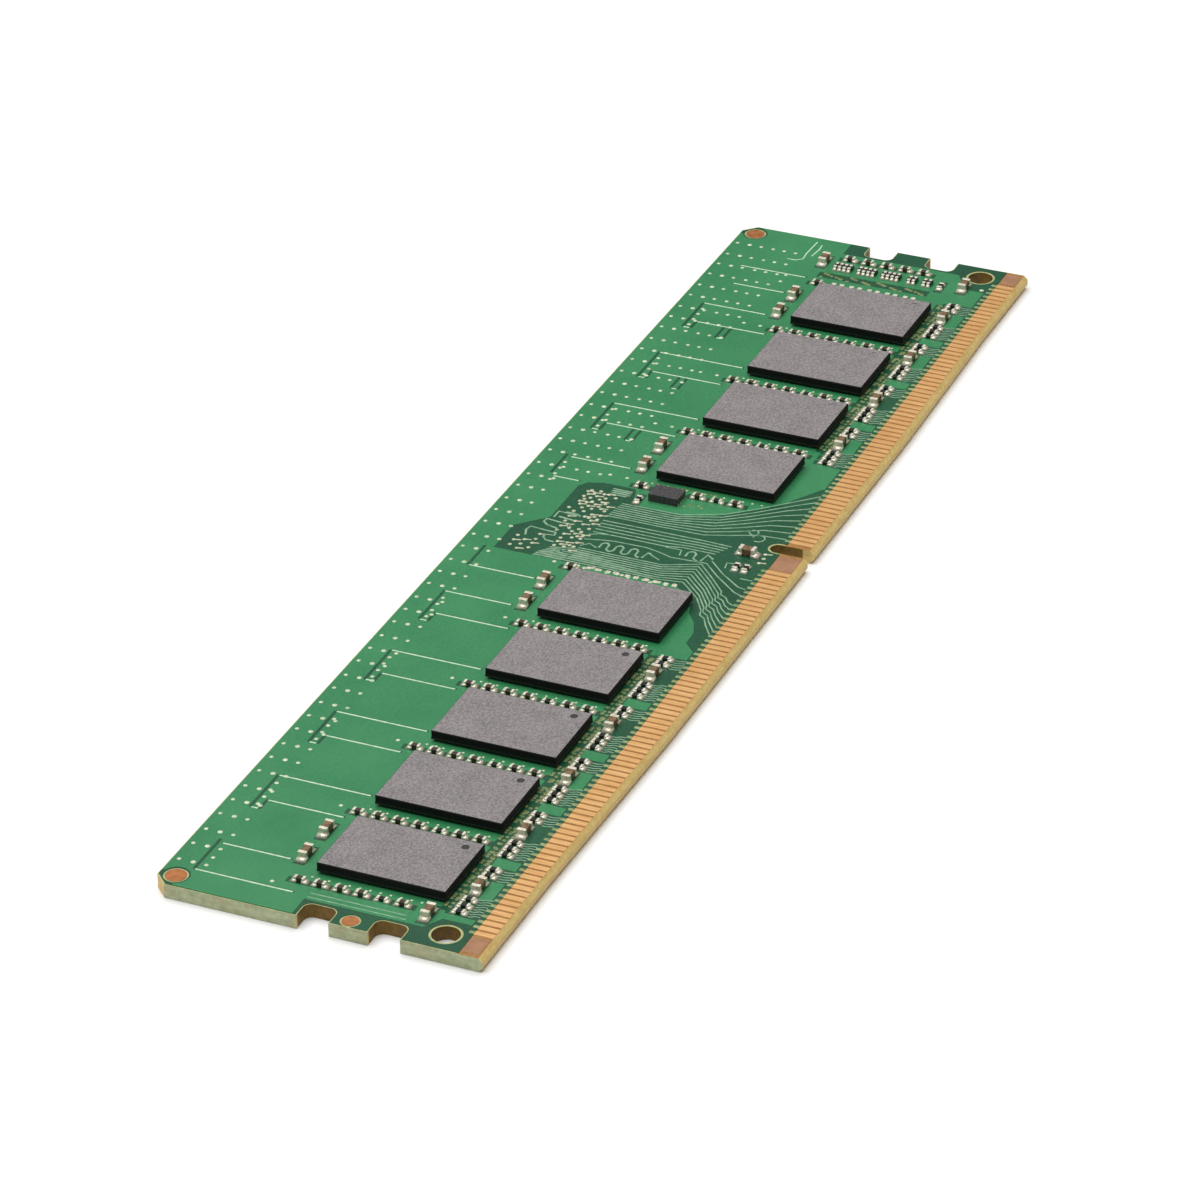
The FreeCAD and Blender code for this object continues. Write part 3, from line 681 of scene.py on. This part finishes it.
def make_front_vias():
    """The vias as low domes in the mask; every other one of the crowd has a short link."""
    large, small = via_places()
    shape = bmesh.new()
    for across, up in large:
        add_dome(shape, (across, up, FACE), LARGE_VIA)
    for across, up in small:
        add_dome(shape, (across, up, FACE), SMALL_VIA)
    for across, up in chip_vias():
        add_dome(shape, (across, up, FACE), CHIP_VIA, 6)
    finish_piece("covered_vias_front", shape, VIA_GLINT)
    crowd = bmesh.new()
    for across, up in via_field():
        add_dome(crowd, (across, up, FACE), CROWD_VIA)
    for step in range(15):
        add_dome(crowd, (-4.45 + stray(step, 0.2), 4.3 - 0.74 * step, FACE), COLUMN_VIA)
    lines = [[(across, up), (across + 0.14, up - 0.66)] for across, up in via_field()[1::2]]
    links = ridges(lines, VIA_LINK, FACE)
    finish_piece("crowded_vias_front", join([crowd, links]), CROWD_GLINT)
    rows = bmesh.new()
    for across, up in chip_edge_vias() + scattered_vias():
        add_dome(rows, (across, up, FACE), EDGE_VIA, 6)
    finish_piece("chip_edge_vias_front", rows, OLIVE)


def thin_traces():
    """Traces that spread from the middle vias to the contacts, and the short ones about them."""
    lines = fan([(-3.9, 7.6), (-3.9, -4.2), (-3.5, -6.6), (-5.7, -8.9), (-7.6, -10.1),
                 (-8.4, -10.3), (-8.8, -10.9), (-9.9, -11.5), (-11.3, NECK_HIGH)],
                [(-1.3, 4.9), (-1.3, -3.6), (0.2, -6.9), (-1.9, -8.9), (-3.7, -10.5),
                 (-4.3, -10.7), (-4.6, -11.3), (-5.3, -11.8), (-5.7, NECK_HIGH)], 8)
    lines += fan([(2.0, 4.8), (2.0, -2.5), (2.4, -4.2), (2.4, -7.4)],
                 [(4.3, 4.8), (4.3, -2.0), (4.3, -6.0), (4.2, -8.3)], 5)
    lines += fan([(5.25, 4.8), (5.2, -0.5), (5.3, -5.0), (6.1, -7.2), (7.2, -9.8),
                  (7.4, NECK_HIGH)],
                 [(7.9, 4.4), (8.0, -1.6), (9.7, -5.4), (11.8, -7.9), (14.6, -10.8),
                  (16.2, NECK_HIGH)], 8)
    lines += [[(0.4, 5.0), (0.8, 3.5), (1.05, 2.2), (1.1, -1.0), (0.8, -2.3), (0.3, -3.8),
               (0.5, -7.3), (-1.3, -9.1), (-3.4, -11.6), (-3.8, NECK_HIGH)],
              [(1.1, -7.6), (-0.7, -9.4), (-2.4, -11.6), (-2.6, NECK_HIGH)],
              [(-0.9, -11.2), (-0.9, NECK_HIGH)],
              [(1.3, 5.0), (1.8, 4.1), (2.0, 3.0)], [(-0.9, 4.9), (-0.2, 4.2), (-0.7, 3.3)],
              [(1.9, -2.6), (1.9, -4.2), (0.9, -4.4)], [(0.2, -1.6), (-0.6, -3.0)],
              [(0.3, -9.2), (1.3, -9.0), (1.5, -10.2)]]
    lines += [arc((6.6, -10.0), 0.62, 90, -200, 8), arc((7.5, -9.2), 0.45, 180, -120, 8)]
    lines += [[(-63.8, -6.8), (-63.8, 2.3)], [(-63.2, -6.6), (-63.2, 2.3)]]
    lines += fan([(-4.0, 8.3), (-3.9, 7.6)], [(-2.2, 7.4), (-1.6, 5.3)], 6)
    lines += fan([(10.25, 6.3), (10.25, 4.3)], [(9.2, 6.2), (9.2, 4.5)], 4)
    return lines


def bold_traces():
    """Meanders and stout loops among the middle vias."""
    return [meander(-0.85, 3.1, 1.3, 1.47, 3), [(-0.85, -1.31), (0.25, -1.55), (0.2, -1.9)],
            meander(0.65, -4.95, 1.35, 1.65, 1), [(0.65, -6.6), (2.0, -6.8), (1.4, -7.6)],
            [(-1.0, 10.4), (0.0, 10.75), (0.7, 10.6), (0.55, 9.0), (0.5, 7.95), (-0.05, 7.85),
             (-0.15, 8.7), (-0.6, 8.75), (-1.1, 8.3), (-1.2, 7.4)],
            [(0.9, 7.9), (1.3, 8.3), (1.55, 9.3), (2.0, 9.85), (2.6, 9.8), (2.45, 8.5),
             (2.4, 7.3), (1.5, 7.0)],
            [(3.4, 8.9), (3.3, 8.1), (3.2, 7.3)], [(3.1, 9.3), (4.3, 9.3), (4.2, 7.0)],
            [(4.4, 8.6), (4.5, 7.9), (4.3, 7.2)]]


def make_front_traces():
    """Signal traces that lift the mask, and the paler mask over the densest of them."""
    whole = join([ridges(thin_traces(), MAIN_TRACE, FACE), ridges(bold_traces(), BOLD_TRACE, FACE)])
    finish_piece("signal_traces_front", whole, TRACE_GLINT)
    outlines = ([(-4.1, 5.4), (-2.9, 5.2), (-2.4, 6.8), (-3.1, 8.1), (-4.1, 8.3)],
                [(-3.8, -4.0), (-2.9, 0.0), (-1.8, 3.5), (-1.9, 4.8), (-3.6, 5.0)],
                [(9.3, 4.2), (10.3, 4.3), (10.3, 6.0), (9.3, 6.0)])
    lift = 0.006
    patches = [plate(outline, FACE - SUNK, lift + SUNK) for outline in outlines]
    finish_piece("thin_mask_patches", join(patches), HAZE)


def make_group_traces():
    """Fine short lines from each group of data resistors down to the necks."""
    lines = []
    for group in GROUPS:
        for step in range(8):
            start = group - 4.2 + 0.38 * step
            lines.append([(start, -11.1), (start, -11.6), (start + 0.25, -12.0),
                          (start + 0.25, NECK_HIGH)])
        for step in range(5):
            start = group + 1.6 + 0.38 * step
            lines.append([(start, -11.1), (start, -11.8), (start + 0.2, NECK_HIGH)])
    finish_piece("resistor_traces_front", ridges(lines, FINE_TRACE, FACE), TRACE_GLINT)


def make_necks(name, level, height, hanging=False):
    """The mask lifted by each contact's neck, just above the contact."""
    shape = bmesh.new()
    low, high = (level - height, level) if hanging else (level, level + height)
    for across in CONTACTS:
        verts = add_block(shape, (across - NECK_HALF, NECK_LOW, low),
                          (across + NECK_HALF, NECK_HIGH, high))
        crown = [v for v in verts if (v.co.z < (low + high) / 2) == hanging]
        bmesh.ops.scale(shape, vec=(0.6, 1, 1), verts=crown,
                        space=Matrix.Translation((-across, 0, 0)))
    finish_piece(name, shape, NECK_GLINT)


def make_bare_patches():
    """Bare laminate, its cloth worn smooth, where no contact is printed."""
    level, thickness = 1.355, 0.02    # from just inside the laminate to just above it
    shapes = []
    for left, right, low, high in ((-66.2, -63.9, -14.6, -12.98), (1.75, 4.35, -15.2, -12.98),
                                   (64.0, 66.2, -14.7, -12.98)):
        corners = [(left, low), (right, low), (right, high), (left, high)]
        shapes.append(plate(corners, level, thickness))
    finish_piece("bare_patches_front", join(shapes), PATCH)


# ---------------------------------------------------------------- the board's back

BACK_POUR = [(-SIDE, 2.4), (-64.2, 2.4), (-64.2, -8.6), (-62.5, -9.6), (-62.5, -12.3),
             (4.0, -12.3), (4.0, -10.6), (7.2, -10.6), (7.2, -12.3), (62.5, -12.3),
             (62.5, -9.6), (64.2, -8.6), (64.2, 2.4), (SIDE, 2.4), (SIDE, 14.18),
             (SIDE - 1.1, CREST), (1.1 - SIDE, CREST), (-SIDE, 14.18)]
BACK_POUR_LOW, BACK_POUR_THICKNESS = 0.007, 0.017    # it ends SUNK inside the back mask


def make_back():
    """The bare side: mask, copper pours with their splits, vias and long traces."""
    mask = copy_of("solder_mask_back")
    squeeze = (BACK_MASK - BACK) / BACK_MASK
    bmesh.ops.scale(mask, vec=(1, 1, squeeze), verts=mask.verts,
                    space=Matrix.Translation((0, 0, -BACK_MASK)))
    finish_piece("back_mask", mask, BARE_MASK, ["solder_mask_back"])
    windows = []
    for number, chip in enumerate(CHIPS, start=1):
        windows += [(chip - 5.0, chip - 4.7, -8.4, 4.2), (chip + 4.4, chip + 4.7, -6.0, 6.0),
                    (chip - 5.0, chip + 4.7, 7.2, 7.5)]
    windows += [(group - 3.6, group + 2.8, -12.6, -11.4) for group in GROUPS]
    windows += [(-62.0, 61.5, 10.2, 10.45), (-2.6, 9.8, -4.6, 6.6)]
    pours = plate(BACK_POUR, BACK_POUR_LOW, BACK_POUR_THICKNESS, windows)
    finish_piece("copper_pours_back", pours, POUR_MASK)
    large, small = via_places()
    shape = bmesh.new()
    for across, up in large + small:
        add_dome(shape, (across, up, BACK), BACK_VIA)
    for across, up in via_field() + chip_vias() + chip_edge_vias():
        add_dome(shape, (across, up, BACK), SMALL_BACK_VIA, 6)
    for chip in CHIPS:
        for row in range(6):
            for column in range(4):
                across, up = chip - 2.4 + 1.6 * column, -7.7 + 1.6 * row
                add_dome(shape, (across, up, BACK), SMALL_BACK_VIA, 6)
    finish_piece("covered_vias_back", shape, VIA_GLINT)
    lines = fan([(-2.2, 6.2), (-2.2, -1.0), (-3.4, -3.9)], [(9.4, 6.2), (9.4, 0.4), (8.2, -4.2)], 15)
    for group in GROUPS:
        lines += fan([(group - 3.4, -11.5), (group - 3.0, NECK_HIGH)],
                     [(group + 2.6, -11.5), (group + 2.2, NECK_HIGH)], 7)
    traces = ridges(lines, BACK_TRACE, BACK_TRACE_LEVEL)
    finish_piece("signal_traces_back", traces, TRACE_GLINT)
    make_necks("contact_necks_back", BACK, BACK, hanging=True)


# ---------------------------------------------------------------- soldered parts

def make_solder_toes():
    """A mound of solder about the foot of every plated end, longest away from the body."""
    shape = bmesh.new()
    # Each kind, how far up its ends the solder climbs as a share, and how far out it reaches.
    kinds = [("decoupling_capacitor", 0.5, 0.40), ("calibration_resistor", 0.6, 0.32),
             ("data_resistor", 0.66, 0.38), ("bulk_capacitor", 0.36, 0.50),
             ("termination_capacitor", 0.5, 0.38), ("control_resistor", 0.6, 0.34)]
    for kind, share, reach in kinds:
        middles = [(low + high) / 2 for low, high in islands(f"{kind}_bodies")]
        for low, high in islands(f"{kind}_terminals"):
            own = (low + high) / 2
            body = min(middles, key=lambda middle: (middle - own).length_squared)
            add_toe(shape, low, high, own - body, share, reach, skirt=0.12)
    for low, high in islands("termination_array_terminals"):
        away = Vector(((low.x + high.x) / 2 - ARRAYS, 0, 0))
        add_toe(shape, low, high, away, share=0.6, reach=0.34, skirt=0.05)
    for face in shape.faces:
        face.smooth = True
    finish_piece("solder_toes", shape, TIN)


def add_toe(shape, low, high, away, share, reach, skirt):
    """A mound that narrows from its foot to the terminal's own size at share of its height.

    Its foot reaches out on the side away from the body, and by a skirt on the sides next to it.
    """
    axis = 0 if abs(away.x) > abs(away.y) else 1
    lift, slack = 0.002, 0.01
    foot_low = Vector((low.x - skirt, low.y - skirt, FACE + lift))
    foot_high = Vector((high.x + skirt, high.y + skirt, low.z + (high.z - low.z) * share))
    if away[axis] > 0:
        foot_low[axis], foot_high[axis] = low[axis], high[axis] + reach
    else:
        foot_low[axis], foot_high[axis] = low[axis] - reach, high[axis]
    middle = (foot_low + foot_high) / 2
    for vert in add_block(shape, foot_low, foot_high):
        if vert.co.z > middle.z:
            vert.co.x = high.x + slack if vert.co.x > middle.x else low.x - slack
            vert.co.y = high.y + slack if vert.co.y > middle.y else low.y - slack


def wrap_over(ends):
    """Move the inner edges of the arrays' plating further towards the middle of the arrays."""
    inner_edge, further = 0.4, 0.11
    for vert in ends.verts:
        aside = vert.co.x - ARRAYS
        if abs(aside) < inner_edge:
            vert.co.x -= math.copysign(further, aside)


def make_parts():
    """Parts whose edges are rounded: chips, capacitors and resistors."""
    thin_edge = 0.028    # the plated ends' edges are rounded no more than this
    for number in range(1, len(CHIPS) + 1):
        case = copy_of(f"memory_chip_{number}_cap")
        soften(case, radius=0.07, shortest=0.5, above=CHIP_TOP - 0.1)
        finish_piece(f"memory_chip_{number}_case", case, MOULD,
                     [f"memory_chip_{number}_cap"])
    for kind, material, slot, radius in (
            ("bulk_capacitor", CERAMIC, "capacitor_ceramic", 0.05),
            ("decoupling_capacitor", DARK_CERAMIC, "capacitor_ceramic", 0.03),
            ("termination_capacitor", DARK_CERAMIC, "capacitor_ceramic", 0.03),
            ("calibration_resistor", GLAZE, "resistor_body", 0.02),
            ("data_resistor", GLAZE, "resistor_body", 0.02),
            ("control_resistor", GLAZE, "resistor_body", 0.02),
            ("termination_array", GLAZE, "resistor_body", 0.02)):
        core = copy_of(f"{kind}_bodies")
        soften(core, radius)
        finish_piece(f"{kind}_cores", core, material, [f"{kind}_bodies"])
        ends = copy_of(f"{kind}_terminals")
        if kind == "termination_array":
            wrap_over(ends)
        soften(ends, min(radius, thin_edge))
        finish_piece(f"{kind}_plated_ends", ends, TIN, [f"{kind}_terminals"])


def dress_nodes():
    """Finishes of the CAD nodes that show as they are."""
    finishes = {"circuit_board": LAMINATE, "solder_mask_front": BARE_MASK,
                "solder_mask_back": BARE_MASK, "alignment_marks": COPPER,
                "contact_fingers_front": GOLD, "contact_fingers_back": GOLD,
                "config_memory_case": SMALL_MOULD, "config_memory_leads": TIN, "spare_pads": TIN}
    for name, node in nodes.items():
        if name.endswith("_balls"):
            material = BALL
        elif name.endswith("_carrier"):
            material = CARRIER
        elif name.endswith("_die"):
            material = SILICON
        else:
            material = finishes.get(name, TIN)
        node.data.materials.clear()
        node.data.materials.append(material)


# ---------------------------------------------------------------- studio

FLOOR_HALF = 4.0             # half the floor's width, in metres
SKY = 0.22                   # strength of the white surroundings
SOFTBOX = Vector((0.0, 0.14, 0.73))    # the softbox's place; it faces the module's middle
SOFTBOX_WIDTH, SOFTBOX_DEPTH, SOFTBOX_WATTS = 1.1, 0.9, 8.4
AZIMUTH, ELEVATION, ROLL = -66.15, 30.41, -0.76    # the camera's angles, in degrees
DISTANCE = 0.5081            # from the camera to the point it looks at
TARGET = Vector((-0.00719, 0.00013, 0.0))
LENS, SENSOR = 165.76, 36.0  # focal length and sensor width, in millimetres


def make_floor():
    """A plain pale floor under the module."""
    shape = bmesh.new()
    bmesh.ops.create_grid(shape, x_segments=1, y_segments=1, size=FLOOR_HALF)
    add_object("studio_floor", shape, FLOOR)


def light_studio():
    """White surroundings and one large softbox overhead."""
    world = bpy.data.worlds.new("studio")
    world.use_nodes = True
    background = world.node_tree.nodes["Background"]
    background.inputs["Color"].default_value = (1.0, 1.0, 1.0, 1.0)
    background.inputs["Strength"].default_value = SKY
    bpy.context.scene.world = world
    light = bpy.data.lights.new("overhead_softbox", "AREA")
    light.shape = "RECTANGLE"
    light.size = SOFTBOX_WIDTH
    light.size_y = SOFTBOX_DEPTH
    light.energy = SOFTBOX_WATTS
    lamp = bpy.data.objects.new("overhead_softbox", light)
    lamp.location = SOFTBOX
    lamp.rotation_mode = "QUATERNION"
    lamp.rotation_quaternion = (-SOFTBOX).to_track_quat("-Z", "Y")
    bpy.context.scene.collection.objects.link(lamp)
    bpy.context.scene.view_settings.view_transform = "Standard"


def place_camera():
    """A long lens over the module's near end, turned by the three angles about its target."""
    azimuth, elevation = math.radians(AZIMUTH), math.radians(ELEVATION)
    back = Vector((math.sin(azimuth) * math.cos(elevation),
                   -math.cos(azimuth) * math.cos(elevation), math.sin(elevation)))
    data = bpy.data.cameras.new("camera")
    data.sensor_width = SENSOR
    data.lens = LENS
    data.clip_start, data.clip_end = 0.01, 20.0
    camera = bpy.data.objects.new("camera", data)
    camera.location = TARGET + back * DISTANCE
    camera.rotation_mode = "QUATERNION"
    turn = (-back).to_track_quat("-Z", "Y").to_matrix().to_4x4()
    roll = Matrix.Rotation(math.radians(ROLL), 4, "Z")
    camera.rotation_quaternion = (turn @ roll).to_quaternion()
    bpy.context.scene.collection.objects.link(camera)
    bpy.context.scene.camera = camera


dress_nodes()
make_front_pours()
make_split_lips()
make_front_vias()
make_front_traces()
make_group_traces()
make_necks("contact_necks_front", FACE, NECK_LIFT)
make_bare_patches()
make_back()
make_parts()
make_solder_toes()
make_floor()
light_studio()
place_camera()
